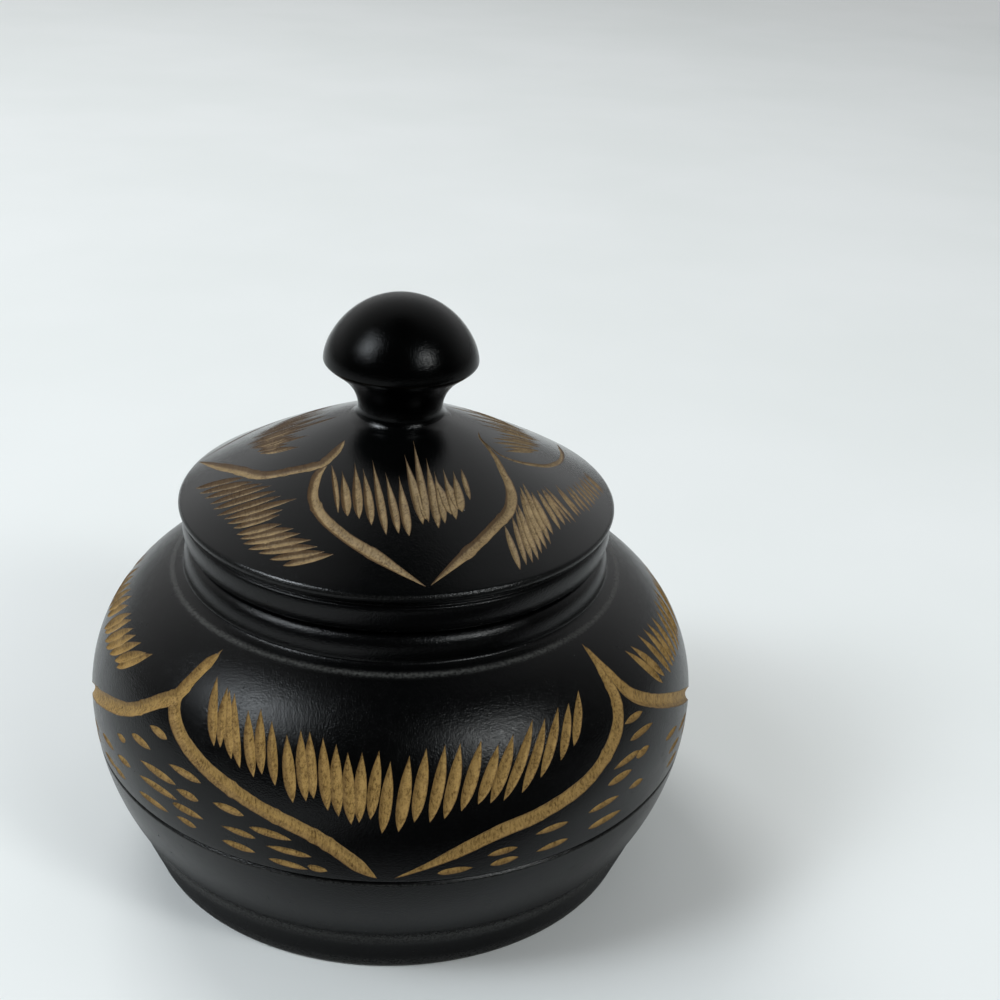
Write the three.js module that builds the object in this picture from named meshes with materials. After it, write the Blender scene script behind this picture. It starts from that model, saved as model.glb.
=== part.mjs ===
// A small lathe-turned wooden trinket jar: a hollow, bellied body on a low flared foot, a loose
// lid that a spigot locates in the mouth, and a mushroom knob whose tenon is glued into the lid.
// Millimetres, +Z up, origin at the centre of the face that the jar stands on.

import * as THREE from "three";

// Foot
const FOOT_RADIUS = 32.4; // where the side meets the table
const FOOT_HEIGHT = 5.3;
const FOOT_FLARE = 2.1; // how far the top edge of the foot stands out past its base
const FOOT_EDGE = 0.5; // rounding of the standing edge
const RECESS_RADIUS = 23.0; // shallow turned recess inside the standing ring
const RECESS_DEPTH = 1.2;

// Belly
const BELLY_RADIUS = 39.2;
const BELLY_LEVEL = 22.5; // height of the widest place
const COVE_HEIGHT = 2.9; // hollow moulding between foot and belly
const COVE_REACH = 1.2; // how far the belly's lower end stands out past the foot
const GROOVE_LEVEL = 18.0; // scribed line below the carved zone
const GROOVE_WIDTH = 0.7;
const GROOVE_DEPTH = 0.35;

// Neck and mouth
const RIM_LEVEL = 42.9; // height of the body's rim
const NECK_RADIUS = 27.0; // widest part of the collar
const NECK_HEIGHT = 3.9;
const SHOULDER_LEDGE = 1.5; // how far the shoulder's arris stands out past the collar
const NECK_COVE = 0.7; // depth of the hollow under the collar
const RIM_WALL = 3.5;
const RIM_ROUNDING = 1.0;
const BORE_DEPTH = 6.0; // straight part of the mouth

// Hollow
const BELLY_WALL = 6.0;
const FLOOR_THICKNESS = 7.0; // from the table to the floor inside
const FLOOR_RADIUS = 22.0; // flat part of the floor

// Lid
const SEAT_GAP = 0.3; // dark line between rim and lid
const LID_OVERHANG = 0.4; // how far the lid's top edge stands out past the collar
const BAND_HEIGHT = 5.1; // from the underside to the top edge
const BEAD_HEIGHT = 3.4; // rounded lower part of the band
const BEAD_INSET = 0.4; // how far the bead stays inside the top edge
const LIP_NOTCH = 0.55; // depth of the groove between bead and top edge
const LIP_EDGE = 0.6; // height of the thin top edge
const LID_RISE = 10.7; // from the top edge to the knob's seat
const LID_CROWN = 0.45; // how far the top bulges past a straight cone
const SPIGOT_DEPTH = 4.0;
const SPIGOT_CLEARANCE = 0.3;
const SPIGOT_WALL = 3.2;
const SPIGOT_BEVEL = 0.6;
const CEILING_HEIGHT = 4.0; // hollow under the lid, above its seat face

// Knob
const KNOB_FOOT_RADIUS = 5.7;
const KNOB_FOOT_EDGE = 0.25;
const KNOB_NECK_RADIUS = 5.2;
const KNOB_NECK_HEIGHT = 1.3; // from the seat to the narrowest place
const KNOB_RADIUS = 9.5;
const KNOB_WIDEST_HEIGHT = 7.4;
const KNOB_HEIGHT = 15.35;
const TENON_RADIUS = 3.0;
const TENON_LENGTH = 8.0;
const TENON_BEVEL = 0.5;
const GLUE_GAP = 0.15;

// Steps round the lathe's axis
const WIDE_STEPS = 60;
const KNOB_STEPS = 40;

// Places that follow from the sizes above
const MOUTH_RADIUS = NECK_RADIUS - RIM_WALL;
const LID_LEVEL = RIM_LEVEL + SEAT_GAP;
const LID_RADIUS = NECK_RADIUS + LID_OVERHANG;
const TOP_EDGE_LEVEL = LID_LEVEL + BAND_HEIGHT;
const KNOB_SEAT_LEVEL = TOP_EDGE_LEVEL + LID_RISE;

const at = (radius, height) => new THREE.Vector2(radius, height);
const footCrest = at(FOOT_RADIUS + FOOT_FLARE, FOOT_HEIGHT);
const bellyWidest = at(BELLY_RADIUS, BELLY_LEVEL);
const bellyStart = at(footCrest.x + COVE_REACH, FOOT_HEIGHT + COVE_HEIGHT);
const shoulder = at(NECK_RADIUS + SHOULDER_LEDGE, RIM_LEVEL - NECK_HEIGHT);

// Radius, at a height, of the round arc that stands upright at its widest point and passes through end.
function arcRadius(widest, end, height) {
  const inward = widest.x - end.x;
  const away = widest.y - end.y;
  const bend = (inward * inward + away * away) / (2 * inward);
  const offset = height - widest.y;
  return widest.x - bend + Math.sign(bend) * Math.sqrt(bend * bend - offset * offset);
}

// Radius of the belly at a height.
function bellyRadius(height) {
  const end = height < BELLY_LEVEL ? bellyStart : shoulder;
  return arcRadius(bellyWidest, end, height);
}

// Points along a surface between two heights, both included.
function sweep(radiusAt, from, to, steps) {
  const points = [];
  for (let i = 0; i <= steps; i++) {
    const height = THREE.MathUtils.lerp(from, to, i / steps);
    points.push(at(radiusAt(height), height));
  }
  return points;
}

function curve(start, leave, arrive, end, steps) {
  return new THREE.CubicBezierCurve(start, leave, arrive, end).getPoints(steps);
}

// Quarter of an ellipse between two points, level at one end and upright at the other.
function quarter(level, upright, steps) {
  const points = [];
  for (let i = 0; i <= steps; i++) {
    const turn = (i / steps) * (Math.PI / 2);
    points.push(
      at(
        THREE.MathUtils.lerp(level.x, upright.x, Math.sin(turn)),
        THREE.MathUtils.lerp(level.y, upright.y, 1 - Math.cos(turn)),
      ),
    );
  }
  return points;
}

// A shallow arc between two points that bulges by the crown at its middle, to the left of the way it runs.
function crowned(start, end, crown, steps) {
  const along = end.clone().sub(start);
  const bulge = at(-along.y, along.x).normalize();
  const points = [];
  for (let i = 0; i <= steps; i++) {
    const share = i / steps;
    const height = crown * 4 * share * (1 - share);
    points.push(start.clone().addScaledVector(along, share).addScaledVector(bulge, height));
  }
  return points;
}

// A turned solid: the half section spun about the Z axis.
function turned(name, section, steps, material) {
  const geometry = new THREE.LatheGeometry(section, steps).rotateX(Math.PI / 2);
  const mesh = new THREE.Mesh(geometry, material);
  mesh.name = name;
  return mesh;
}

// Underside and side of the foot, from the axis outwards.
function footSection() {
  const base = at(FOOT_RADIUS, 0);
  const side = footCrest.clone().sub(base).normalize();
  return [
    at(0, RECESS_DEPTH),
    at(RECESS_RADIUS - RECESS_DEPTH, RECESS_DEPTH),
    at(RECESS_RADIUS, 0),
    ...quarter(at(FOOT_RADIUS - FOOT_EDGE, 0), base.clone().addScaledVector(side, FOOT_EDGE), 3),
    footCrest,
  ];
}

// Outside from the foot's crest to the shoulder's arris, with the scribed line.
function bellySection() {
  const leave = footCrest.clone().add(at(-0.2, COVE_HEIGHT * 0.35));
  const arrive = bellyStart.clone().add(at(-COVE_REACH * 0.5, -COVE_HEIGHT * 0.38));
  const half = GROOVE_WIDTH / 2;
  return [
    ...curve(footCrest, leave, arrive, bellyStart, 4).slice(1),
    ...sweep(bellyRadius, bellyStart.y, GROOVE_LEVEL - half, 5).slice(1),
    at(bellyRadius(GROOVE_LEVEL) - GROOVE_DEPTH, GROOVE_LEVEL),
    ...sweep(bellyRadius, GROOVE_LEVEL + half, BELLY_LEVEL, 2),
    ...sweep(bellyRadius, BELLY_LEVEL, shoulder.y, 8).slice(1),
  ];
}

// Hollow under the collar, the collar's round and the rim, up to the mouth.
function neckSection() {
  const collar = at(NECK_RADIUS, RIM_LEVEL - RIM_ROUNDING);
  const root = at(NECK_RADIUS - NECK_COVE, shoulder.y + 0.3);
  const arrive = collar.clone().add(at(-NECK_COVE * 0.7, -NECK_HEIGHT * 0.3));
  const rimTop = at(NECK_RADIUS - RIM_ROUNDING, RIM_LEVEL);
  return [
    ...curve(shoulder.clone().add(at(-0.3, 0.2)), root, arrive, collar, 5),
    ...quarter(rimTop, collar, 3).reverse().slice(1),
    at(MOUTH_RADIUS + SPIGOT_CLEARANCE, RIM_LEVEL),
    at(MOUTH_RADIUS, RIM_LEVEL - SPIGOT_CLEARANCE),
  ];
}

// Inside, from the mouth down to the middle of the floor.
function hollowSection() {
  const widest = at(BELLY_RADIUS - BELLY_WALL, BELLY_LEVEL);
  const boreEnd = at(MOUTH_RADIUS, RIM_LEVEL - BORE_DEPTH);
  const floorEdge = at(FLOOR_RADIUS, FLOOR_THICKNESS);
  return [
    ...sweep((height) => arcRadius(widest, boreEnd, height), boreEnd.y, BELLY_LEVEL, 5),
    ...quarter(floorEdge, widest, 6).reverse().slice(1),
    at(0, FLOOR_THICKNESS),
  ];
}

function jarBody(material) {
  const section = [...footSection(), ...bellySection(), ...neckSection(), ...hollowSection()];
  return turned("jar_body", section, WIDE_STEPS, material);
}

// Underside of the lid, from the axis out to the edge of its seat face.
function lidUnderside() {
  const outer = MOUTH_RADIUS - SPIGOT_CLEARANCE;
  const inner = outer - SPIGOT_WALL;
  const bottom = LID_LEVEL - SPIGOT_DEPTH;
  const ceiling = at(0, LID_LEVEL + CEILING_HEIGHT);
  const spring = at(inner, LID_LEVEL);
  return [
    ...curve(ceiling, at(inner * 0.6, ceiling.y), at(inner, ceiling.y - CEILING_HEIGHT * 0.4), spring, 4),
    at(inner, bottom + SPIGOT_BEVEL),
    at(inner + SPIGOT_BEVEL, bottom),
    at(outer - SPIGOT_BEVEL, bottom),
    at(outer, bottom + SPIGOT_BEVEL),
    at(outer, LID_LEVEL),
  ];
}

// Edge of the lid: a rounded bead, a fine groove and the thin top edge.
function lidBand() {
  const bead = at(LID_RADIUS - BEAD_INSET, LID_LEVEL + BEAD_HEIGHT * 0.6);
  const seatEdge = at(bead.x - BEAD_HEIGHT * 0.3, LID_LEVEL);
  const beadTop = at(bead.x - LIP_NOTCH * 0.4, LID_LEVEL + BEAD_HEIGHT);
  const topEdge = at(LID_RADIUS, TOP_EDGE_LEVEL);
  return [
    ...quarter(seatEdge, bead, 4),
    ...curve(bead, bead.clone().add(at(0, 0.6)), beadTop.clone().add(at(0.2, -0.4)), beadTop, 3).slice(1),
    at(bead.x - LIP_NOTCH, beadTop.y + 0.25),
    at(LID_RADIUS - 0.15, TOP_EDGE_LEVEL - LIP_EDGE),
    at(LID_RADIUS, TOP_EDGE_LEVEL - LIP_EDGE * 0.6),
    topEdge,
  ];
}

// Crowned cone of the top, the knob's flat seat and the blind hole for its tenon.
function lidTop() {
  const edge = at(LID_RADIUS - 0.25, TOP_EDGE_LEVEL + 0.25);
  const seat = at(KNOB_FOOT_RADIUS + 0.1, KNOB_SEAT_LEVEL);
  const bore = TENON_RADIUS + GLUE_GAP;
  const boreEnd = KNOB_SEAT_LEVEL - TENON_LENGTH - 2 * GLUE_GAP;
  return [
    ...crowned(edge, seat, -LID_CROWN, 7),
    at(bore, KNOB_SEAT_LEVEL),
    at(bore, boreEnd),
    at(0, boreEnd),
  ];
}

function lid(material) {
  return turned("lid", [...lidUnderside(), ...lidBand(), ...lidTop()], WIDE_STEPS, material);
}

// Tenon, waisted neck and mushroom cap, from the tenon's end up to the crown.
function lidKnob(material) {
  const seat = KNOB_SEAT_LEVEL;
  const neck = at(KNOB_NECK_RADIUS, seat + KNOB_NECK_HEIGHT);
  const widest = at(KNOB_RADIUS, seat + KNOB_WIDEST_HEIGHT);
  const crown = at(0, seat + KNOB_HEIGHT);
  const flare = widest.y - neck.y;
  const dome = crown.y - widest.y;
  const leaveNeck = neck.clone().add(at(0.3, flare * 0.66));
  const underWidest = widest.clone().add(at(0, -flare * 0.16));
  const overWidest = widest.clone().add(at(0, dome * 0.3));
  const besideCrown = crown.clone().add(at(KNOB_RADIUS * 0.65, 0));
  const section = [
    at(0, seat - TENON_LENGTH),
    at(TENON_RADIUS - TENON_BEVEL, seat - TENON_LENGTH),
    at(TENON_RADIUS, seat - TENON_LENGTH + TENON_BEVEL),
    at(TENON_RADIUS, seat),
    at(KNOB_FOOT_RADIUS, seat),
    ...quarter(at(KNOB_FOOT_RADIUS, seat + KNOB_FOOT_EDGE), neck, 3),
    ...curve(neck, leaveNeck, underWidest, widest, 9).slice(1),
    ...curve(widest, overWidest, besideCrown, crown, 9).slice(1),
  ];
  return turned("lid_knob", section, KNOB_STEPS, material);
}

// Black lacquer: satin on body and lid, glossier on the knob.
const satin = new THREE.MeshStandardMaterial({ color: 0x1c1d1e, roughness: 0.42, metalness: 0 });
const gloss = new THREE.MeshStandardMaterial({ color: 0x101011, roughness: 0.22, metalness: 0 });

const jar = new THREE.Group();
jar.add(jarBody(satin), lid(satin), lidKnob(gloss));

export default jar;
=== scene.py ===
"""A small lathe-turned wooden trinket jar, lacquered black, with petals hand carved through the lacquer.

Shapes are worked out in millimetres and written as meshes in metres. Azimuths are in degrees from the
front (-Y), positive towards the right (+X). Every turned piece is one half section spun round the Z
axis. The carved zones are flat sheets of triangles that keep the outline of every gouge cut, sunk along
each cut and laid on the turned form.
"""

import copy
import math
import random

import bpy
import numpy as np
from mathutils import Matrix, Vector
from mathutils.geometry import delaunay_2d_cdt


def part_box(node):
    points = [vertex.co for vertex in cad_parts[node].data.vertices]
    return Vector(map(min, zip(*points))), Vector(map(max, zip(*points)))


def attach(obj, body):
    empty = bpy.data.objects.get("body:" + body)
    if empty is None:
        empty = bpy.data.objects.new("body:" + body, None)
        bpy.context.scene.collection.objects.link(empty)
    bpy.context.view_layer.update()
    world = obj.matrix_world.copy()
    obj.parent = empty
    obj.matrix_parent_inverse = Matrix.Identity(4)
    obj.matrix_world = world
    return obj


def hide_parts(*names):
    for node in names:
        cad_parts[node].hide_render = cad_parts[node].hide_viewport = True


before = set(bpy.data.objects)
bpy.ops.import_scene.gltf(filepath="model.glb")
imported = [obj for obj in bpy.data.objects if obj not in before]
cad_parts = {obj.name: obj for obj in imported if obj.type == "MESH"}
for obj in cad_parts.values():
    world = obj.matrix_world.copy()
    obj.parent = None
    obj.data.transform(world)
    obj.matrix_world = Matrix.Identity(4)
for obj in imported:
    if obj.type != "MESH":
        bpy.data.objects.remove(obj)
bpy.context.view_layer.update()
scene = bpy.context.scene
chance = random.Random(11)

MM = 0.001


def size_of(node):
    """Widest radius, lowest and highest level of a CAD node, in mm."""
    low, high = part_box(node)
    return high.x / MM, low.z / MM, high.z / MM


# Sizes that the frame gives
BELLY_RADIUS, _, RIM_LEVEL = size_of("jar_body")
LID_RADIUS, SPIGOT_LEVEL, KNOB_SEAT_LEVEL = size_of("lid")
KNOB_RADIUS, TENON_LEVEL, KNOB_TOP_LEVEL = size_of("lid_knob")

# Foot and belly
FOOT_RADIUS = 32.4
FOOT_HEIGHT = 5.3
FOOT_FLARE = 2.1
FOOT_EDGE = 0.5
RECESS_RADIUS = 23.0
RECESS_DEPTH = 1.2
BELLY_LEVEL = 22.5
COVE_HEIGHT = 2.9
COVE_REACH = 1.2
GROOVE_LEVEL = 18.0
GROOVE_HALF_WIDTH = 0.35
GROOVE_DEPTH = 0.35

# Neck, mouth and hollow
LID_OVERHANG = 0.4
NECK_RADIUS = LID_RADIUS - LID_OVERHANG
NECK_HEIGHT = 3.9
SHOULDER_LEDGE = 1.5
NECK_COVE = 0.2
RIM_ROUNDING = 1.5  # how far in the rim's rounding reaches
RIM_DROP = 2.4  # and how far down
RIM_WALL = 3.5
RIM_BEVEL = 0.4
MOUTH_RADIUS = NECK_RADIUS - RIM_WALL
BORE_DEPTH = 6.0
BELLY_WALL = 6.0
FLOOR_LEVEL = 7.0
FLOOR_RADIUS = 22.0

# Lid
SEAT_GAP = 0.3
LID_LEVEL = RIM_LEVEL + SEAT_GAP
BAND_HEIGHT = 5.1
BEAD_HEIGHT = 3.4
BEAD_INSET = 0.4
LIP_NOTCH = 0.55
LIP_EDGE = 0.6
BRIM_BEVEL = 0.25
LID_CROWN = 0.45
SPIGOT_CLEARANCE = 0.3
SPIGOT_RADIUS = MOUTH_RADIUS - SPIGOT_CLEARANCE
SPIGOT_WALL = 3.2
SPIGOT_BEVEL = 0.6
CEILING_HEIGHT = 4.0

# Knob
KNOB_FOOT_RADIUS = 5.7
KNOB_NECK_RADIUS = 5.2
KNOB_NECK_HEIGHT = 1.3
KNOB_WIDEST_HEIGHT = 7.4
KNOB_APRON = 0.75  # how far the foot is drawn out over its seam with the lid
TENON_RADIUS = 3.0
GLUE_GAP = 0.15
HOLE_SPARE = 0.3  # how far the hole goes on below the tenon

# Fineness of the meshes
STEPS_ROUND = 240
KNOB_STEPS = 160
ARRIS_STEPS = 6
SHEET_SPACING = 1.25
MIDDLE_RING = 11  # radius at which a flat disc is divided

foot_crest = (FOOT_RADIUS + FOOT_FLARE, FOOT_HEIGHT)
belly_start = (foot_crest[0] + COVE_REACH, FOOT_HEIGHT + COVE_HEIGHT)
belly_widest = (BELLY_RADIUS, BELLY_LEVEL)
shoulder = (NECK_RADIUS + SHOULDER_LEDGE, RIM_LEVEL - NECK_HEIGHT)
knob_seat = (KNOB_FOOT_RADIUS + 0.1, KNOB_SEAT_LEVEL)
TOP_EDGE_LEVEL = LID_LEVEL + BAND_HEIGHT

# The carved zone of the belly, as heights, and of the lid, as radii
BELLY_ZONE = (GROOVE_LEVEL + 0.45, shoulder[1] - 0.3)
LID_ZONE = (LID_RADIUS - 0.45, 6.4)
LAP = 2 * math.pi * BELLY_RADIUS


# Half sections, as lists of smooth stretches


def points(*pairs):
    return np.array(pairs, float)


def full_turn(steps):
    """Even azimuths all round, in radians."""
    return np.arange(steps) * (2 * math.pi / steps)


def path_lengths(line):
    """How far along the line each of its points lies."""
    return np.concatenate([[0], np.cumsum(np.linalg.norm(np.diff(line, axis=0), axis=1))])


def between(path, paths, pairs):
    """Pairs of values at path lengths, between those given at other path lengths."""
    return np.stack([np.interp(path, paths, pairs[:, k]) for k in (0, 1)], -1)


def arc_radius(widest, end, height):
    """Radius, at a height, of the arc that stands upright at its widest point and passes through end."""
    inward = widest[0] - end[0]
    away = widest[1] - end[1]
    bend = (inward * inward + away * away) / (2 * inward)
    offset = height - widest[1]
    return widest[0] - bend + np.sign(bend) * np.sqrt(bend * bend - offset * offset)


def sweep(widest, end, start_level, end_level, steps):
    heights = np.linspace(start_level, end_level, steps + 1)
    return np.stack([arc_radius(widest, end, heights), heights], 1)


def curve(start, leave, arrive, end, steps):
    """A cubic Bezier curve."""
    t = np.linspace(0, 1, steps + 1)[:, None]
    a, b, c, d = (np.array(p, float) for p in (start, leave, arrive, end))
    return a * (1 - t) ** 3 + 3 * b * t * (1 - t) ** 2 + 3 * c * t * t * (1 - t) + d * t**3


def bent(start, corner, end, count):
    """Points of a curve that leaves start for the corner and turns to the end."""
    t = np.linspace(0, 1, count)[:, None]
    return start * (1 - t) ** 2 + 2 * corner * t * (1 - t) + end * t * t


def quarter(level, upright, steps):
    """Quarter of an ellipse between two points, level at one end and upright at the other."""
    turn = np.linspace(0, math.pi / 2, steps + 1)
    radius = level[0] + (upright[0] - level[0]) * np.sin(turn)
    height = level[1] + (upright[1] - level[1]) * (1 - np.cos(turn))
    return np.stack([radius, height], 1)


def shortened(line, trim):
    """A polyline without its last stretch of the given length."""
    left = trim
    for i in range(len(line) - 1, 0, -1):
        step = np.linalg.norm(line[i] - line[i - 1])
        if step > left:
            cut = line[i] + (line[i - 1] - line[i]) * (left / step)
            return np.vstack([line[:i], cut])
        left -= step
    return line[:1]


def beside(end, inner, rounding):
    """A point close to the end of a rounding, which keeps the shading of the arris to itself."""
    return end + (inner - end) * min(0.4, rounding / np.linalg.norm(inner - end))


def joined(stretches):
    """One section from stretches, each given with the rounding of the arris where it meets the next. A
    single point stands for the straight line that leads to it."""
    section = stretches[0][0]
    for (_, rounding), (follower, _) in zip(stretches, stretches[1:]):
        corner = section[-1]
        if np.ndim(follower) == 1:
            follower = points(corner, follower)
        before = shortened(section, rounding)
        after = shortened(follower[::-1], rounding)[::-1]
        lead_in = beside(before[-1], before[-2], rounding)
        lead_out = beside(after[0], after[1], rounding)
        bend = bent(before[-1], corner, after[0], ARRIS_STEPS)
        section = np.vstack([before[:-1], lead_in, bend, lead_out, after[1:]])
    return section


def belly_lines():
    """The belly below and above the scribed line, with the line's lowest point."""
    bottom = arc_radius(belly_widest, belly_start, GROOVE_LEVEL) - GROOVE_DEPTH
    below = sweep(belly_widest, belly_start, belly_start[1], GROOVE_LEVEL - GROOVE_HALF_WIDTH, 18)
    side = sweep(belly_widest, belly_start, GROOVE_LEVEL + GROOVE_HALF_WIDTH, BELLY_LEVEL, 9)
    top = sweep(belly_widest, shoulder, BELLY_LEVEL, shoulder[1], 40)
    return below, (bottom, GROOVE_LEVEL), np.vstack([side, top[1:]])


def collar_line(start):
    """The hollow under the collar and the collar's rounding, up to the top of the rim."""
    collar = (NECK_RADIUS, RIM_LEVEL - RIM_DROP)
    root = (NECK_RADIUS - NECK_COVE, shoulder[1] + 0.6)
    to_collar = (collar[0], collar[1] - NECK_HEIGHT * 0.2)
    rim_top = (NECK_RADIUS - RIM_ROUNDING, RIM_LEVEL)
    return np.vstack([curve(start, root, to_collar, collar, 18), quarter(rim_top, collar, 7)[-2::-1]])


def hollow_line(start):
    """The wall inside, from the end of the straight mouth to the flat floor."""
    inner_widest = (BELLY_RADIUS - BELLY_WALL, BELLY_LEVEL)
    upper = sweep(inner_widest, start, start[1], BELLY_LEVEL, 14)
    return np.vstack([upper, quarter((FLOOR_RADIUS, FLOOR_LEVEL), inner_widest, 16)[-2::-1]])


def jar_section():
    """Half section of the body, from the middle of its underside out, up, in and down to the floor."""
    base = np.array([FOOT_RADIUS, 0.0])
    side = np.array(foot_crest) - base
    side /= np.linalg.norm(side)
    recess_top = RECESS_RADIUS - RECESS_DEPTH
    leave = (foot_crest[0] - COVE_REACH * 0.3, foot_crest[1] + COVE_HEIGHT * 0.4)
    arrive = (belly_start[0] - COVE_REACH * 0.6, belly_start[1] - COVE_HEIGHT * 0.4)
    below, groove, belly = belly_lines()
    neck_start = (shoulder[0] - 0.5, shoulder[1] + 0.2)
    bore_end = (MOUTH_RADIUS, RIM_LEVEL - BORE_DEPTH)
    return joined(
        [
            (points((0, RECESS_DEPTH), (MIDDLE_RING, RECESS_DEPTH), (recess_top, RECESS_DEPTH)), 0.25),
            ((RECESS_RADIUS, 0), 0.2),
            ((FOOT_RADIUS - FOOT_EDGE, 0), 0.02),
            (quarter((FOOT_RADIUS - FOOT_EDGE, 0), base + side * FOOT_EDGE, 6), 0.02),
            (np.vstack([base + side * FOOT_EDGE, base + side * 2.5, foot_crest]), 0.5),
            (curve(foot_crest, leave, arrive, belly_start, 14), 0.12),
            (below, 0.1),
            (groove, 0.06),
            (belly[0], 0.09),
            (belly, 0.22),
            (points(shoulder, neck_start), 0.18),
            (collar_line(neck_start), 0.1),
            ((MOUTH_RADIUS + RIM_BEVEL, RIM_LEVEL), 0.12),
            ((MOUTH_RADIUS, RIM_LEVEL - RIM_BEVEL), 0.12),
            (bore_end, 0.5),
            (hollow_line(bore_end), 0.5),
            (points((FLOOR_RADIUS, FLOOR_LEVEL), (MIDDLE_RING, FLOOR_LEVEL), (0, FLOOR_LEVEL)), 0),
        ]
    )


def bead_line(seat_edge, bead, bead_top):
    """The rounded lower part of the lid's band."""
    to_top = (bead_top[0] + 0.2, bead_top[1] - 0.4)
    upper = curve(bead, (bead[0], bead[1] + 0.6), to_top, bead_top, 8)
    return np.vstack([quarter(seat_edge, bead, 10), upper[1:]])


def crown_line(edge, seat):
    """The lid's top: a cone that bulges a little, from its edge to the knob's seat."""
    share = np.linspace(0, 1, 25)[:, None]
    bulge = np.array([edge[1] - seat[1], seat[0] - edge[0]])
    bulge *= -LID_CROWN / np.linalg.norm(bulge)
    return edge + (seat - edge) * share + bulge * 4 * share * (1 - share)


def lid_section():
    """Half section of the lid, from the middle of its underside out, up and in to the knob's hole."""
    inner = SPIGOT_RADIUS - SPIGOT_WALL
    ceiling = (0, LID_LEVEL + CEILING_HEIGHT)
    to_spring = (inner, ceiling[1] - CEILING_HEIGHT * 0.4)
    bead = (LID_RADIUS - BEAD_INSET, LID_LEVEL + BEAD_HEIGHT * 0.6)
    seat_edge = (bead[0] - BEAD_HEIGHT * 0.3, LID_LEVEL)
    bead_top = (bead[0] - LIP_NOTCH * 0.4, LID_LEVEL + BEAD_HEIGHT)
    edge = np.array([LID_RADIUS - BRIM_BEVEL, TOP_EDGE_LEVEL + BRIM_BEVEL])
    hole = TENON_RADIUS + GLUE_GAP
    hole_end = TENON_LEVEL - HOLE_SPARE
    return joined(
        [
            (curve(ceiling, (inner * 0.6, ceiling[1]), to_spring, (inner, LID_LEVEL), 16), 0.3),
            ((inner, SPIGOT_LEVEL + SPIGOT_BEVEL), 0.15),
            ((inner + SPIGOT_BEVEL, SPIGOT_LEVEL), 0.15),
            ((SPIGOT_RADIUS - SPIGOT_BEVEL, SPIGOT_LEVEL), 0.15),
            ((SPIGOT_RADIUS, SPIGOT_LEVEL + SPIGOT_BEVEL), 0.15),
            ((SPIGOT_RADIUS, LID_LEVEL), 0.1),
            (seat_edge, 0.1),
            (bead_line(seat_edge, bead, bead_top), 0.06),
            ((bead[0] - LIP_NOTCH, bead_top[1] + 0.25), 0.1),
            ((LID_RADIUS - 0.1, TOP_EDGE_LEVEL - LIP_EDGE), 0.14),
            ((LID_RADIUS, TOP_EDGE_LEVEL - LIP_EDGE * 0.3), 0.2),
            (edge, 0.22),
            (crown_line(edge, np.array(knob_seat)), 0.02),
            (points(knob_seat, (hole, KNOB_SEAT_LEVEL)), 0.02),
            ((hole, hole_end), 0.1),
            ((0, hole_end), 0),
        ]
    )


def knob_section():
    """Half section of the knob, from the end of its tenon up to the crown."""
    seat = KNOB_SEAT_LEVEL
    neck = (KNOB_NECK_RADIUS, seat + KNOB_NECK_HEIGHT)
    widest = (KNOB_RADIUS, seat + KNOB_WIDEST_HEIGHT)
    crown = (0, KNOB_TOP_LEVEL)
    flare = widest[1] - neck[1]
    dome = crown[1] - widest[1]
    foot = (knob_seat[0] + KNOB_APRON, seat - KNOB_APRON * 0.5 + 0.05)
    under_foot = (foot[0] - 0.03, foot[1] - 0.02)
    fillet = curve(foot, (foot[0] - 0.7, foot[1] + 0.38), (neck[0], neck[1] - 0.8), neck, 14)
    to_widest = (widest[0], widest[1] - flare * 0.16)
    under = curve(neck, (neck[0] + 0.3, neck[1] + flare * 0.66), to_widest, widest, 40)
    beside_crown = (KNOB_RADIUS * 0.65, crown[1])
    over = curve(widest, (widest[0], widest[1] + dome * 0.3), beside_crown, crown, 40)
    return joined(
        [
            (points((0, TENON_LEVEL), (TENON_RADIUS, TENON_LEVEL)), 0.5),
            ((TENON_RADIUS, seat), 0.1),
            (points((TENON_RADIUS, seat), (KNOB_FOOT_RADIUS, seat), under_foot), 0.01),
            (foot, 0.01),
            (np.vstack([fillet, under[1:], over[1:]]), 0),
        ]
    )


class Section:
    """A half section with its path length and outward normals."""

    def __init__(self, line):
        self.line = line
        self.path = path_lengths(line)
        steps = np.diff(line, axis=0)
        lengths = np.linalg.norm(steps, axis=1)
        ways = steps / lengths[:, None]
        out = np.stack([ways[:, 1], -ways[:, 0]], 1) * (1 / lengths)[:, None]
        summed = np.vstack([out[:1], out[1:] + out[:-1], out[-1:]])
        self.normal = summed / np.linalg.norm(summed, axis=1)[:, None]
        self.normal[0] = (0, -1 if line[0, 1] < line[-1, 1] or self.normal[0, 1] < 0 else 1)
        self.normal[-1] = (0, 1)

    def at(self, path):
        """Points and normals at path lengths."""
        normal = between(path, self.path, self.normal)
        normal /= np.linalg.norm(normal, axis=-1, keepdims=True)
        return between(path, self.path, self.line), normal

    def nearest(self, place):
        """Path length of the section's point nearest to a place."""
        gaps = np.linalg.norm(self.line - np.array(place), axis=1)
        return self.path[gaps.argmin()]

    def at_height(self, height, start, end):
        """Path length at a height, on the stretch that climbs between two path lengths."""
        part = (self.path >= start) & (self.path <= end)
        return np.interp(height, self.line[part, 1], self.path[part])


def spun(place, azimuth):
    """Points of a half section at azimuths in radians, as X, Y, Z."""
    radius, height, azimuth = np.broadcast_arrays(place[..., 0], place[..., 1], azimuth)
    return np.stack([radius * np.sin(azimuth), -radius * np.cos(azimuth), height], -1)


# Gouge cuts

FAR = 1e9
BRINK = 0.97  # share of a cut's half width from which on it has no depth
LEAF_POINTS = 14
DRIFT_STEPS = 7  # points of a cut's line over which its width drifts
GRAIN_OFFSETS = 40  # mm along the grain within which each cut's tool marks start


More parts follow.
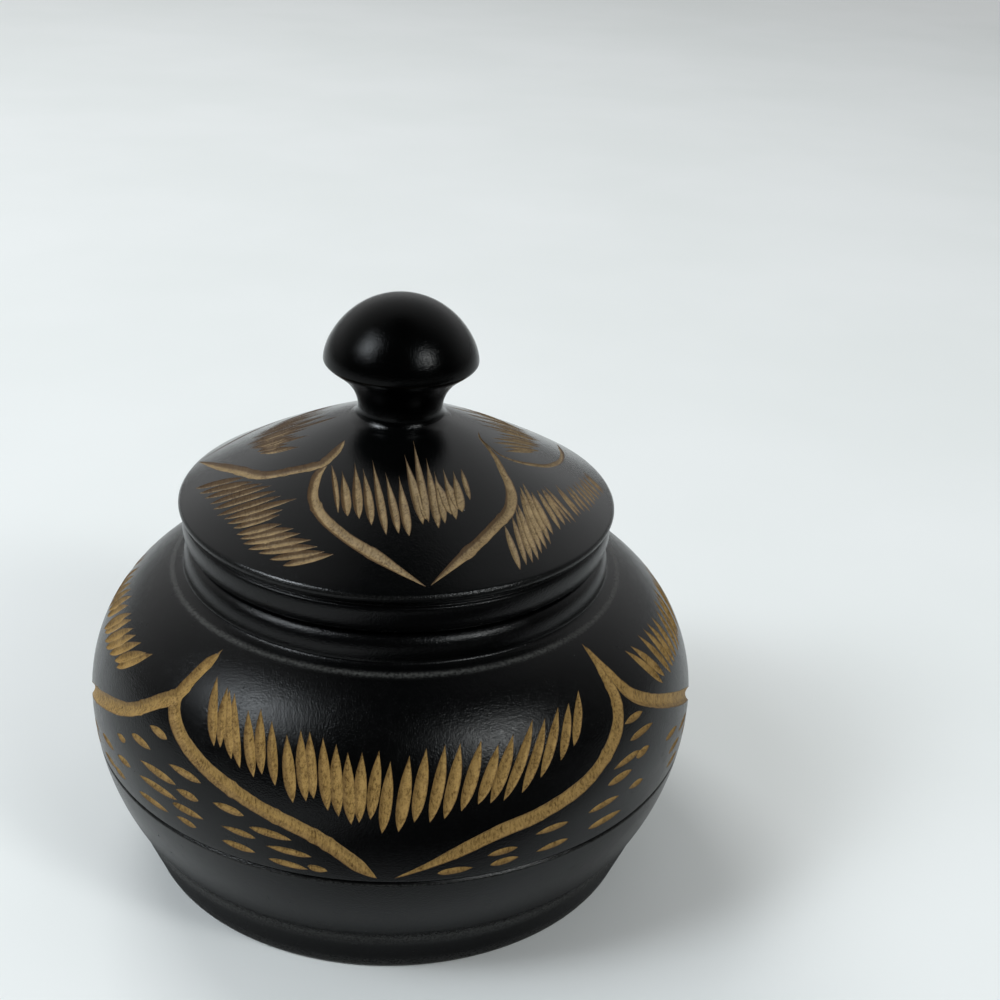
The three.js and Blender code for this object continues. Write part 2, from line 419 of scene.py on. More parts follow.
def unsteady(count, every):
    """Values between about -1 and 1 that drift slowly, with a little quick trembling, as a hand does."""
    drift = [chance.uniform(-1, 1) for _ in range(count // every + 3)]
    slow = np.interp(np.arange(count) / every, np.arange(len(drift)), drift)
    return slow + np.array([chance.uniform(-0.35, 0.35) for _ in range(count)])


class Cut:
    """One gouge cut along a smooth line on a flat sheet, pointed at both ends."""

    def __init__(self, line, width, depth, swelling, roundness, tilt, waver=0.0):
        """swelling gives the share of the full width along the length, roundness is 1 for a V tool and 2
        for a gouge, tilt is how far the deepest line lies to the right of the middle, as a share of half
        the width."""
        self.line = np.asarray(line, float)
        self.along = path_lengths(self.line)
        swell = swelling(self.along / self.along[-1])
        self.half = width / 2 * swell * (1 + waver * unsteady(len(swell), DRIFT_STEPS))
        self.roundness, self.tilt = roundness, tilt
        self.half[[0, -1]] = 0
        self.depth = np.maximum(depth * swell**0.8, 0.0)
        ways = np.gradient(self.line, axis=0)
        ways /= np.linalg.norm(ways, axis=1)[:, None]
        self.side = np.stack([-ways[:, 1], ways[:, 0]], 1)
        self.offset = chance.uniform(0, GRAIN_OFFSETS)

    def shifted(self, step):
        other = copy.copy(self)
        other.line = self.line + np.array([step, 0])
        return other

    def rail(self, share):
        """The line along the cut at a share of its half width, from -1 on the right to 1 on the left."""
        return self.line + self.side * (self.half * share)[:, None]

    def hollow(self, ratio, side, deep):
        """Depth at a share of the half width, on one side of a cut that is so deep in its middle."""
        lean = side * ratio + self.tilt
        slope = np.abs(np.where(lean < 0, lean / (1 - self.tilt), lean / (1 + self.tilt)))
        return np.where(ratio < BRINK, deep * (1 - np.minimum(slope, 1) ** self.roundness) ** 0.8, 0)

    def measure(self, places):
        """Gap to the cut's edge, how far along, how far across (-1 to 1) and how deep it is."""
        gap = np.full(len(places), FAR)
        along, across, depth = np.zeros((3, len(places)))
        for k in range(len(self.line) - 1):
            a, b = self.line[k], self.line[k + 1]
            way = b - a
            t = np.clip((places - a) @ way / (way @ way), 0, 1)
            off = places - a - t[:, None] * way
            reach = np.linalg.norm(off, axis=1)
            half = self.half[k] + (self.half[k + 1] - self.half[k]) * t
            nearer = reach - half < gap
            gap = np.where(nearer, reach - half, gap)
            along = np.where(nearer, self.along[k] + t * (self.along[k + 1] - self.along[k]), along)
            side = np.sign(way[0] * off[:, 1] - way[1] * off[:, 0])
            ratio = np.clip(reach / np.maximum(half, 1e-6), 0, 1)
            across = np.where(nearer, side * ratio, across)
            deep = self.depth[k] + (self.depth[k + 1] - self.depth[k]) * t
            depth = np.where(nearer, self.hollow(ratio, side, deep), depth)
        return gap, along, across, depth


def smooth_line(handles, spacing):
    """A smooth line through handles, with points about as far apart as spacing."""
    handles = np.array(handles, float)
    padded = np.vstack([2 * handles[0] - handles[1], handles, 2 * handles[-1] - handles[-2]])
    dense = []
    for a, b, c, d in zip(padded, padded[1:], padded[2:], padded[3:]):
        square, cube = 2 * a - 5 * b + 4 * c - d, 3 * b - a - 3 * c + d
        for t in np.linspace(0, 1, 20, endpoint=False):
            dense.append(0.5 * (2 * b + (c - a) * t + square * t * t + cube * t**3))
    dense.append(handles[-1])
    dense = np.array(dense)
    path = path_lengths(dense)
    count = max(6, round(path[-1] / spacing))
    return between(np.linspace(0, path[-1], count + 1), path, dense)


def leaf(start, end, width, depth, roundness, fullest, bow, tilt):
    """A short pointed cut from start to end, bowed sideways by a share of its length."""
    start, end = np.array(start, float), np.array(end, float)
    way = end - start
    middle = (start + end) / 2 + np.array([-way[1], way[0]]) * bow

    def swelling(share):
        return 1 - np.abs(1 - 2 * share ** (math.log(0.5) / math.log(fullest))) ** 2.5

    return Cut(bent(start, middle, end, LEAF_POINTS), width, depth, swelling, roundness, tilt)


def band(handles, width, depth, head, tail):
    """A long even cut, the outline of a petal, that narrows over a head and a tail in mm."""
    line = smooth_line(handles, 0.6)
    length = np.linalg.norm(np.diff(line, axis=0), axis=1).sum()

    def swelling(share):
        starting = np.minimum(1, share * length / head) ** 0.7
        return starting * np.minimum(1, (1 - share) * length / tail) ** 0.8

    cut = Cut(line, width, depth, swelling, roundness=1.5, tilt=0.15, waver=0.08)
    cut.half *= [1.13 if chance.random() < 0.07 else 1.0 for _ in cut.half]  # a few places slip wide
    return cut


# The carving of the belly, in azimuth from each petal's middle and height

# Places on the strokes that show, here and on the lid, were read by eye off enlarged crops of the
# photograph. Helper scripts turned the readings into azimuth and height or radius, through the camera
# fitted to the jar. Strokes that the photograph hides are guessed.
PETAL_MIDDLES = (1, 91, 181, 271)
BAND_WIDTH = 1.85
CUT_DEPTH = 0.45
BELLY_LEFT = (
    (-42.6, 38.1), (-44.6, 35.6), (-45.6, 33.2), (-42.2, 30.9), (-35, 28.7), (-24.7, 26.5), (-12.4, 23.7),
    (-3.1, 18.85),
)
BELLY_RIGHT = (
    (47.1, 38.4), (46.6, 35.5), (46.2, 33.2), (43.2, 30.4), (35, 27.1), (24.7, 25.1), (14.9, 23.6),
    (-0.3, 18.9),
)
BELLY_LEFT_HIGH = (
    (-42.6, 38.1), (-42, 36.2), (-39.6, 33.2), (-33.7, 30.7), (-24.7, 27.9), (-12.4, 23.9), (-2.6, 18.85),
)
BELLY_RIGHT_HIGH = (
    (47.4, 38.3), (44.6, 34.2), (40.4, 32.2), (33.4, 29.3), (22, 26.6), (11.5, 23.8), (-0.3, 18.9),
)
# The swag of upright leaves in the front petal: azimuth from its middle, top, foot and lean
SWAG = (
    (-36.6, 36.6, 31, -5.7), (-34.2, 36.2, 31.1, -3.5), (-32.5, 36.1, 30.4, -5.5),
    (-30.8, 36, 29.8, -6.1), (-27.2, 35.1, 29.3, -4.6), (-25.3, 35.5, 29.8, -3.6),
    (-22.5, 34.8, 29, -3.3), (-19, 34, 27.6, -3.2), (-16.7, 34.6, 28, -3), (-15.2, 34.6, 28.4, -2.5),
    (-12.6, 34.3, 27.3, -2.4), (-10.4, 33.9, 26.8, -1.6), (-8.2, 33.3, 26, -1.5),
    (-6.3, 33.4, 26.3, -0.2), (-3.9, 33.6, 26.7, 1), (-1.9, 32.7, 25.1, 1.1), (1.1, 33.2, 25.3, 1.8),
    (3.9, 33.8, 26.4, 2.3), (6.9, 34, 26.3, 3.2), (9.5, 34, 26.6, 3.6), (12.9, 34, 27.3, 4.7),
    (15.9, 33.4, 27.8, 4.9), (18.6, 34, 27.7, 6), (22.1, 34.8, 27.7, 8.3), (25.1, 34.6, 28.1, 7.5),
    (28.8, 35.1, 29.2, 7.3), (32.4, 35.1, 30.3, 5.4), (35.8, 35.7, 31.2, 5.6),
)
# Short level leaves under the outlines: azimuth from the petal's middle, height, half length and rise
DASHES = (
    (-57, 25.5, 1.7, 0.1), (-55.6, 22.8, 2.6, 0.3), (-57.8, 20.1, 2.4, 0.2), (-46.7, 29.5, 2.6, -0.2),
    (-50.6, 27.2, 3.1, 0), (-38.7, 26.8, 3.9, -0.3), (-45.2, 25, 5, -0.1), (-37.6, 24.4, 2.6, -0.1),
    (-45, 23, 5.2, 0.1), (-37.5, 22.2, 3.6, -0.1), (-46.5, 20.4, 4.3, 0.1), (-38, 20.5, 2.3, -0.2),
    (-29, 24.8, 3.1, -0.3), (-27, 22.2, 3.3, -0.2), (-27.1, 20.1, 3.2, -0.2), (-21.1, 23.2, 3.8, -0.4),
    (-17.9, 21.3, 4, -0.3), (-18.1, 19.4, 3.5, -0.4), (-13, 19.5, 1.7, -0.3), (9.8, 19.5, 3, 0.3),
    (17.9, 21.2, 2.7, 0.3), (18.4, 19.7, 2.6, 0.3), (27.1, 22.6, 3.3, 0.2), (27.4, 20, 3.3, 0.3),
    (38.4, 22.8, 3.8, 0.1), (39.2, 20.3, 4.2, 0), (42.5, 25.2, 3.3, 0.1), (44.7, 26.8, 3.9, 0.2),
    (47.1, 22.8, 2.2, -0.2), (49.5, 26.4, 2.2, 0.2), (50.2, 28.7, 3.9, -0.1), (49, 30.7, 3, -0.1),
)


def spread(low, high, count, nudge=0.2):
    """Evenly spread values, each nudged a little at random."""
    step = (high - low) / (count - 1)
    return [low + step * (i + chance.uniform(-nudge, nudge)) for i in range(count)]


def side_swag():
    """The shorter, more slanting leaves of the petals at the sides, in the terms of SWAG."""
    rows = []
    for turn in spread(-31, 28, 21):
        top = 35.5 - turn * 0.02 + chance.uniform(-0.3, 0.3)
        foot = 30.6 + abs(turn + 4) * 0.02 + chance.uniform(-0.3, 0.3)
        rows.append((turn, top, foot, 8.5 * math.tanh((turn + 18) / 16)))
    return rows


def swag(to_sheet, middle, rows):
    """The row of upright leaves that hangs in a petal, longest and lowest in its middle."""
    cuts = []
    for turn, top, foot, lean in rows:
        start = to_sheet(middle + turn + lean / 2, top)
        end = to_sheet(middle + turn - lean / 2, foot)
        width = chance.uniform(1.42, 1.6) if abs(turn) < 22 else chance.uniform(1.3, 1.48)
        bow = chance.uniform(-0.012, 0.012)
        cuts.append(leaf(start, end, width, CUT_DEPTH, roundness=1.7, fullest=0.56, bow=bow, tilt=0.2))
    return cuts


def dashes(to_sheet, middle, widest_turn):
    """Short level leaves under a petal's outline, down to the scribed line."""
    cuts = []
    for turn, height, half, rise in DASHES:
        if abs(turn) > widest_turn:
            continue
        start = to_sheet(middle + turn - half, height - rise / 2)
        end = to_sheet(middle + turn + half, height + rise / 2)
        width, fullest = chance.uniform(0.84, 1.02), chance.uniform(0.42, 0.58)
        cuts.append(leaf(start, end, width, 0.34, roundness=1.3, fullest=fullest, bow=0.03, tilt=-0.3))
    return cuts


def belly_cuts(section, low, high):
    """All cuts of the belly on its unrolled sheet, which lies between two path lengths."""

    def to_sheet(azimuth, height):
        return (azimuth + 180) / 360 * LAP, section.at_height(height, low, high)

    cuts = []
    for index, middle in enumerate(PETAL_MIDDLES):
        left = BELLY_LEFT_HIGH if index == 1 else BELLY_LEFT
        right = BELLY_RIGHT_HIGH if index == 3 else BELLY_RIGHT
        heads = (7.0, 2.0) if index == 1 else (1.6, 7.0)
        tails = (2.6, 10.0)
        for side, head, tail in zip((left, right), heads, tails):
            handles = [to_sheet(middle + a, z) for a, z in side]
            cuts.append(band(handles, BAND_WIDTH, CUT_DEPTH, head, tail))
        facing = index in (0, 2)
        cuts += swag(to_sheet, middle, SWAG if facing else side_swag())
        cuts += dashes(to_sheet, middle, 60 if facing else 33)
    return cuts


# The carving of the lid, in azimuth and radius

# Each outline of a petal: width, head and tail, then its line from beside the knob to the petal's tip
LID_OUTLINES = (
    (1.3, 1.5, 6, (-42.2, 12.6), (-43, 13.9), (-39.9, 15.4), (-35.8, 17), (-29.6, 18.5), (-23.7, 19.6),
     (-16.7, 20.8), (-10.9, 21.8), (-5.1, 22.9), (1, 24.4), (7.2, 26.2)),
    (1.3, 11, 6, (84, 9.8), (75.6, 10.2), (69.7, 11.5), (64, 13.1), (58, 14.7), (53.9, 16.3), (49, 17.8),
     (42.5, 19.2), (34.7, 20.2), (25.9, 21.7), (17.7, 23.4), (8.4, 26.1)),
    (0.6, 7, 5, (73.8, 10.7), (69.8, 13.2), (74.2, 15.5), (83.2, 18.2), (91.3, 19.8), (98.7, 21),
     (107, 22.2), (114, 23.2), (121, 24.6)),
    (0.8, 3, 5, (184, 8.7), (181, 11.5), (175, 14.5), (166, 17.5), (153, 20), (141, 21.6), (131, 23),
     (122.5, 24.6)),
    (0.9, 3, 6, (184, 8.7), (186, 11.5), (191, 14.5), (203, 17.8), (219, 20.2), (236, 22.6), (254, 26.6)),
    (1.35, 2, 9, (-49, 8.7), (-46.2, 10.4), (-45.7, 11.7), (-46.5, 12.8), (-50.8, 13.9), (-57.1, 15.4),
     (-63.4, 17.2), (-69.2, 18.4), (-78.7, 19.8), (-92.5, 22.9), (-104.8, 26.8)),
)
# Inside each petal at the back a fan: azimuth of the petal's middle, how far out it reaches, and leaves
PETAL_FANS = ((122, 19.6, 21), (257, 19.8, 22))
PETAL_LEAF = 0.75
# Two long leaves above each: place beside the middle, start and end
LONG_LEAVES = ((1.3, 7.5, 13.0), (-0.5, 9.2, 13.8))
# The leaves in the front petal and between the petals, from their inner to their outer end
FRONT_FAN = (
    (-32.3, 12.6, -18.3, 18.3), (-28.2, 11.1, -13.9, 18.4), (-21.3, 11.7, -9, 19),
    (-18.2, 10.2, -3.6, 20.1), (-7.8, 11.8, 0.4, 19.9), (0, 12.2, 3.8, 20.2), (3.8, 9.1, 8.9, 18.8),
    (13.5, 7, 11, 18.6), (19, 9.8, 14, 19.4), (20.5, 11.8, 16.7, 18.9), (26.4, 11.6, 21.2, 18.6),
    (31.6, 12.2, 24.7, 17.8), (8.7, 13.2, 10.4, 18.2), (19.8, 12.8, 20.3, 17.9), (24.6, 12.8, 24.4, 17.6),
)
FRONT_FAN_THIN = ((-40.1, 12.4, -22.3, 18.1), (36.9, 12.3, 30.6, 16.5))
LEFT_FAN = (
    (-72, 19.6, -83, 25.2), (-66, 19.1, -78.4, 24.8), (-61.3, 18.5, -73.9, 24.4),
    (-56.7, 18, -69.2, 24.2), (-52.4, 18.2, -65.6, 24.2), (-48.3, 18.4, -61.7, 24.3),
    (-41.5, 17.9, -58.3, 24.1), (-42.5, 19.7, -55.6, 24.2), (-42, 20.4, -52.2, 24.2),
    (-38.8, 21.3, -49.4, 24.6), (-33.9, 21.3, -47.2, 24.8), (-30.7, 21.6, -45, 25.1),
    (-26.3, 22, -42.3, 25.4), (-23.4, 22.6, -38.6, 25.3), (-20.7, 23, -34.5, 25.5),
    (-17.9, 23.1, -30, 25.7),
)
RIGHT_FAN = (
    (37, 20.6, 32.8, 26), (42.2, 19.9, 35.3, 25.7), (46, 19.2, 37.4, 25.7), (48.7, 18.7, 39.6, 25.6),
    (54, 17.9, 41.9, 25.1), (57.6, 17.2, 44.3, 24.9), (60.6, 17.1, 46.8, 24.6), (59.6, 18.5, 50.3, 23.8),
    (62.9, 18.7, 54.2, 23.8), (65.6, 19, 57.4, 23.7),
)


def flat(azimuth, radius):
    """A place on the lid seen from above."""
    turn = math.radians(azimuth)
    return np.array([radius * math.sin(turn), -radius * math.cos(turn)])


def lid_leaf(start, end, width, depth):
    return leaf(start, end, width, depth, roundness=1.3, fullest=0.6, bow=0, tilt=0.35)


def petal_fan(middle, reach, count):
    """Narrow leaves side by side inside a petal, and two long ones above them."""
    out, across = flat(middle, 1), flat(middle + 90, 1)
    cuts = []
    for place in spread(-9.0, 6.3, count):
        end = reach - 0.08 * (place + 1.2) ** 2 + chance.uniform(-0.7, 0.6)
        start = 10.7 + 0.2 * place + chance.uniform(-1.3, 1.2)
        lean = 0.07 * place
        head, foot = out * start + across * (place + lean), out * end + across * (place - lean)
        share = chance.uniform(0.85, 1.05) if place < -0.5 else chance.uniform(1.08, 1.25)
        width = PETAL_LEAF * share
        cuts.append(lid_leaf(head, foot, width, 0.4 * width))
    for place, start, end in LONG_LEAVES:
        head, foot = out * start + across * (place - 0.2), out * end + across * place
        cuts.append(lid_leaf(head, foot, 0.65, 0.26))
    return cuts


def fan(turn, ends, width, fullest=0.55):
    """Leaves side by side, each from its inner to its outer end."""
    cuts = []
    for near_azimuth, near_radius, far_azimuth, far_radius in ends:
        head, foot = flat(turn + near_azimuth, near_radius), flat(turn + far_azimuth, far_radius)
        wide = width * chance.uniform(0.9, 1.12)
        bow = chance.uniform(-0.02, 0.02)
        cuts.append(leaf(head, foot, wide, 0.46 * wide, 1.15, fullest, bow, tilt=0.35))
    return cuts


def fine_fan_ends():
    """The fine crowded leaves that carry on the right fan towards the next petal."""
    rows = []
    for share in spread(0, 1, 13, 0.3):
        inner = 19.2 + 5.0 * share + chance.uniform(-0.5, 0.5)
        outer = 23.9 + 2.0 * share + chance.uniform(-0.3, 0.3)
        rows.append((66 + 32 * share, inner, 60 + 30 * share, outer))
    return rows


def lid_cuts():
    """All cuts of the lid's top, seen from above."""
    cuts = []
    for width, head, tail, *line in LID_OUTLINES:
        cuts.append(band([flat(a, r) for a, r in line], width, 0.4 * width, head, tail))
    for petal in PETAL_FANS:
        cuts += petal_fan(*petal)
    cuts += fan(0, FRONT_FAN, 1.08, 0.66)
    cuts += fan(0, FRONT_FAN_THIN, 0.72)
    cuts += fan(0, LEFT_FAN, 1.06)
    for turn in (0, 122):
        cuts += fan(turn, RIGHT_FAN, 0.86)
        cuts += fan(turn, fine_fan_ends(), 0.56)
    return cuts


# Meshes

FILL_CLEARANCE = 0.4  # how far loose places keep from the cuts
RAILS = (-0.7, -0.35, 0, 0.35, 0.7)  # lines inside a cut, as shares of its half width
BOX_MARGIN = 0.1  # spare round the box of a cut
SIDE_MARGIN = 2  # how far past the sheet's sides a cut may lie and still reach it
WELD = 1e4  # parts of a millimetre to which points are rounded before they are joined
LACQUERED, CARVED, STAINED, SIDE = range(4)  # slots of a piece's materials


def grid(low, high, spacing):
    """Staggered rows of places in a rectangle."""
    rows = np.arange(low[1] + spacing * 0.6, high[1] - spacing * 0.4, spacing * 0.87)
    places = []
    for k, y in enumerate(rows):
        start = low[0] + spacing * (0.5 + 0.5 * (k % 2))
        places += [(x, y) for x in np.arange(start, high[0] - spacing * 0.3, spacing)]
    return np.array(places)


def near(cut, places, margin=BOX_MARGIN):
    """Which places lie in the box round a cut."""
    low = cut.line.min(0) - cut.half.max() - margin
    high = cut.line.max(0) + cut.half.max() + margin
    return np.where(((places > low) & (places < high)).all(1))[0]


def clearance(cuts, places):
    """How far each place lies from the nearest cut, where one is near."""
    clear = np.full(len(places), FAR)
    for cut in cuts:
        spots = near(cut, places, FILL_CLEARANCE + BOX_MARGIN)
        clear[spots] = np.minimum(clear[spots], cut.measure(places[spots])[0])
    return clear


class Sheet:
    """Flat triangles that keep the outline of each cut, with the depth at each corner."""

    def __init__(self, cuts, rims, fill, inside):
        """rims are closed or open lines kept as edges, fill loose places, and inside(places) tells which
        belong to the sheet."""
        self.corners, self.edges, self.outlines = [], [], []
        for line, closed in rims:
            self.lay(line, closed)
        for cut in cuts:
            left, right = cut.rail(1), cut.rail(-1)
            self.outlines.append(self.keep(np.vstack([right, left[-2:0:-1]])))
            for share in RAILS:
                self.lay(cut.rail(share)[1:-1])
        self.keep(fill[clearance(cuts, fill) > FILL_CLEARANCE])
        self.triangulate(inside)
        self.trace(cuts, self.sink(cuts))

    def keep(self, line):
        first = len(self.corners)
        self.corners.extend(map(tuple, line))
        return list(range(first, len(self.corners)))

    def lay(self, line, closed=False):
        ids = self.keep(line)
        self.edges.extend(zip(ids, ids[1:] + ids[:1] if closed else ids[1:]))

    def triangulate(self, inside):
        result = delaunay_2d_cdt(self.corners, self.edges, self.outlines, 0, 1e-6, True)
        self.places = np.array([tuple(p) for p in result[0]])
        for k, sources in enumerate(result[3]):
            if sources:
                self.places[k] = self.corners[sources[0]]
        triangles, holders = np.array(result[2]), result[5]
        kept = np.where(inside(self.places[triangles].mean(1)))[0]
        self.triangles = triangles[kept]
        self.is_cut = np.array([len(holders[k]) > 0 for k in kept])

    def sink(self, cuts):
        """Gives each corner its depth, and returns which cut each triangle belongs to."""
        centres = self.places[self.triangles].mean(1)
        self.depth = np.zeros(len(self.places))
        face_depth = np.full(len(centres), -1.0)
        owner = np.full(len(centres), -1)
        for n, cut in enumerate(cuts):
            spots = near(cut, self.places)
            depth = cut.measure(self.places[spots])[3]
            self.depth[spots] = np.maximum(self.depth[spots], depth)
            spots = near(cut, centres)
            gap, _, _, depth = cut.measure(centres[spots])
            better = (gap < 0.02) & (depth > face_depth[spots]) & self.is_cut[spots]
            owner[spots[better]] = n
            face_depth[spots[better]] = depth[better]
        return owner

    def trace(self, cuts, owner):
        """Notes at each corner of a cut's triangles how far along, across and deep in the cut it lies."""
        self.cut_data = np.zeros((len(owner), 3, 3))
        for n, cut in enumerate(cuts):
            faces = np.where(owner == n)[0]
            if len(faces):
                corners = self.triangles[faces].ravel()
                _, along, across, _ = cut.measure(self.places[corners])
                data = np.stack([along + cut.offset, across, self.depth[corners]], 1)
                self.cut_data[faces] = data.reshape(-1, 3, 3)

    def match_sides(self, left, right):
        """Gives the corners on the right side exactly the heights and depths of those on the left."""
        across = self.places[:, 0]
        on_left, on_right = (np.where(np.abs(across - side) < 1e-4)[0] for side in (left, right))
        for k in on_right:
            twin = on_left[np.abs(self.places[on_left, 1] - self.places[k, 1]).argmin()]
            self.places[k, 1], self.depth[k] = self.places[twin, 1], self.depth[twin]


class Shell:
    """Collects triangles with a normal and carving data at each corner, for one closed mesh."""

    def __init__(self):
        self.parts = []
        self.count = 0

    def add(self, xyz, triangles, normals, path, is_cut=None, cut_data=None):
        if is_cut is None:
            is_cut, cut_data = np.zeros(len(triangles), bool), np.zeros((len(triangles), 3, 3))
        self.parts.append((xyz, path, triangles + self.count, normals, is_cut, cut_data))
        self.count += len(xyz)

    def add_turned(self, section, paths, steps):
        """Spins the section between path lengths."""
        place, normal = section.at(paths)
        turns = full_turn(steps)
        xyz = spun(place[:, None, :], turns[None, :]).reshape(-1, 3)
        out = spun(normal[:, None, :], turns[None, :]).reshape(-1, 3)
        rows, columns = np.meshgrid(np.arange(len(paths) - 1), np.arange(steps), indexing="ij")
        a = (rows * steps + columns).ravel()
        b = (rows * steps + (columns + 1) % steps).ravel()
        c = b + steps
        d = a + steps
        triangles = np.vstack([np.stack([a, b, c], 1), np.stack([a, c, d], 1)])
        self.add(xyz, triangles, out[triangles], np.repeat(paths, steps))

    def welded(self):
        """All parts as one, with points in the same place made one and triangles without area left out."""
        xyz, path, triangles, *corner_data = (np.concatenate(part) for part in zip(*self.parts))
        _, first, ids = np.unique(np.round(xyz * WELD), axis=0, return_index=True, return_inverse=True)
        triangles = ids.ravel()[triangles]
        a, b, c = triangles.T
        whole = (a != b) & (b != c) & (c != a)
        return xyz[first], path[first], triangles[whole], *(part[whole] for part in corner_data)

    def mesh(self, name, wear_and_reflection_bands, material_of):
        """One mesh in metres. wear_and_reflection_bands lists scuffed arrises and bands of painted
        reflection, as path length, reach and strength, and material_of gives slots from path lengths."""
        xyz, path, triangles, normals, is_cut, cut_data = self.welded()
        a, b, c = (xyz[triangles[:, k]] for k in range(3))
        face_normals = np.cross(b - a, c - a)
        sums = np.zeros_like(xyz)
        for k in range(3):
            np.add.at(sums, triangles[is_cut, k], face_normals[is_cut])
        lengths = np.linalg.norm(sums, axis=1, keepdims=True)
        normals[is_cut] = (sums / np.maximum(lengths, 1e-12))[triangles[is_cut]]
        slots = material_of(path[triangles].mean(1))
        slots[is_cut] = CARVED
        wear_and_reflection = np.zeros(len(xyz))
        for place, reach, strength in wear_and_reflection_bands:
            wear_and_reflection = np.maximum(wear_and_reflection, strength * np.exp(-(((path - place) / reach) ** 2)))

        mesh = bpy.data.meshes.new(name)
        mesh.from_pydata((xyz * MM).tolist(), [], triangles.tolist())
        mesh.polygons.foreach_set("use_smooth", np.ones(len(triangles), bool))
        mesh.polygons.foreach_set("material_index", slots.astype(np.int32))
        for label, values in (("path", path), ("wear_and_reflection", wear_and_reflection)):
            data = mesh.attributes.new(label, "FLOAT", "POINT").data
            data.foreach_set("value", values.astype(np.float32))
        data = mesh.attributes.new("cut", "FLOAT_VECTOR", "CORNER").data
        data.foreach_set("vector", cut_data.astype(np.float32).ravel())
        mesh.normals_split_custom_set(normals.reshape(-1, 3).tolist())
        mesh.update()
        return mesh


def placed(name, data):
    """A new object in the scene."""
    thing = bpy.data.objects.new(name, data)
    scene.collection.objects.link(thing)
    return thing


def make_piece(name, mesh, materials, body, node):
    piece = placed(name, mesh)
    for material in materials:
        mesh.materials.append(material)
    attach(piece, body)
    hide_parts(node)


def paths_between(section, low, high):
    """The section's own path lengths between two, both ends included."""
    own = section.path[(section.path > low + 0.02) & (section.path < high - 0.02)]
    return np.concatenate([[low], own, [high]])


def carved_belly(section, shell, low, high):
    """The carved zone of the belly, between two path lengths."""
    cuts = belly_cuts(section, low, high)
    cuts += [cut.shifted(LAP) for cut in cuts] + [cut.shifted(-LAP) for cut in cuts]
    reaches = [(cut.line[:, 0].min(), cut.line[:, 0].max()) for cut in cuts]
    cuts = [cut for cut, (a, b) in zip(cuts, reaches) if b > -SIDE_MARGIN and a < LAP + SIDE_MARGIN]
    round_line = np.linspace(0, LAP, STEPS_ROUND + 1)
    up_line = np.linspace(low, high, 19)
    rims = [(np.stack([round_line, np.full_like(round_line, y)], 1), False) for y in (low, high)]
    rims += [(np.stack([np.full_like(up_line, x), up_line], 1), False) for x in (0, LAP)]
    fill = grid((0, low), (LAP, high), SHEET_SPACING)

    def inside(p):
        return (p[:, 0] > 0) & (p[:, 0] < LAP) & (p[:, 1] > low) & (p[:, 1] < high)

    sheet = Sheet(cuts, rims, fill, inside)
    sheet.match_sides(0, LAP)
    turn = sheet.places[:, 0] / LAP * 2 * math.pi + math.pi
    path = sheet.places[:, 1]
    place, normal = section.at(path)
    xyz = spun(place - normal * sheet.depth[:, None], turn)
    out = spun(normal, turn)
    shell.add(xyz, sheet.triangles, out[sheet.triangles], path, sheet.is_cut, sheet.cut_data)


def carved_lid(section, shell, low, high):
    """The carved zone of the lid's top, between two path lengths."""
    outer, inner = section.at(np.array([low, high]))[0][:, 0]
    turns = full_turn(STEPS_ROUND)
    circles = [(np.stack([r * np.sin(turns), -r * np.cos(turns)], 1), True) for r in (outer, inner)]
    fill = grid((-outer, -outer), (outer, outer), SHEET_SPACING)
    radius = np.linalg.norm(fill, axis=1)
    fill = fill[(radius < outer - 0.5) & (radius > inner + 0.5)]

    def inside(p):
        reach = np.linalg.norm(p, axis=1)
        return (reach < outer) & (reach > inner)

    sheet = Sheet(lid_cuts(), circles, fill, inside)
    radius = np.linalg.norm(sheet.places, axis=1)
    own = paths_between(section, low, high)
    path = np.interp(-radius, -section.at(own)[0][:, 0], own)
    turn = np.arctan2(sheet.places[:, 0], -sheet.places[:, 1])
    place, normal = section.at(path)
    place[:, 0] = radius
    out = spun(normal, turn)
    xyz = spun(place, turn) - out * sheet.depth[:, None]
    shell.add(xyz, sheet.triangles, out[sheet.triangles], path, sheet.is_cut, sheet.cut_data)


# Materials

# Scales of noise are in cells per metre, and along a line in cells per millimetre
BELLY_WOOD_DARK = (0.09, 0.044, 0.007, 1)
BELLY_WOOD_LIGHT = (0.318, 0.197, 0.06, 1)
# The lid's wood is greyer and bluer than the belly's: a painted reflection of the pale room on its
# upward-facing cuts
LID_WOOD_DARK = (0.09, 0.052, 0.022, 1)
LID_WOOD_LIGHT = (0.27, 0.188, 0.09, 1)
# Pale lacquer of scuffed arrises, also used for the bands of painted reflection
WORN_AND_REFLECTING_LACQUER = (0.1, 0.1, 0.094, 1)
LACQUER_DUST = (0.14, 0.145, 0.14, 1)
BROWNED_WOOD = (0.075, 0.036, 0.014, 1)
# Colour of the painted shade on one wall of each cut
SHADED_WOOD = (0.06, 0.03, 0.014, 1)
STAIN_DARK = (0.012, 0.009, 0.007, 1)
STAIN_LIGHT = (0.045, 0.03, 0.02, 1)
INNER_DUST = (0.35, 0.34, 0.31, 1)


def put(tree, kind, values=None, **settings):
    """Adds a shader node. values are its inputs, as numbers, colours or the outputs that feed them."""
    node = tree.nodes.new("ShaderNode" + kind)
    for key, value in settings.items():
        setattr(node, key, value)
    for key, value in (values or {}).items():
        if isinstance(value, bpy.types.NodeSocket):
            tree.links.new(value, node.inputs[key])
        else:
            node.inputs[key].default_value = value
    return node


def new_material(name):
    material = bpy.data.materials.new(name)
    material.use_nodes = True
    material.node_tree.nodes.clear()
    return material, material.node_tree


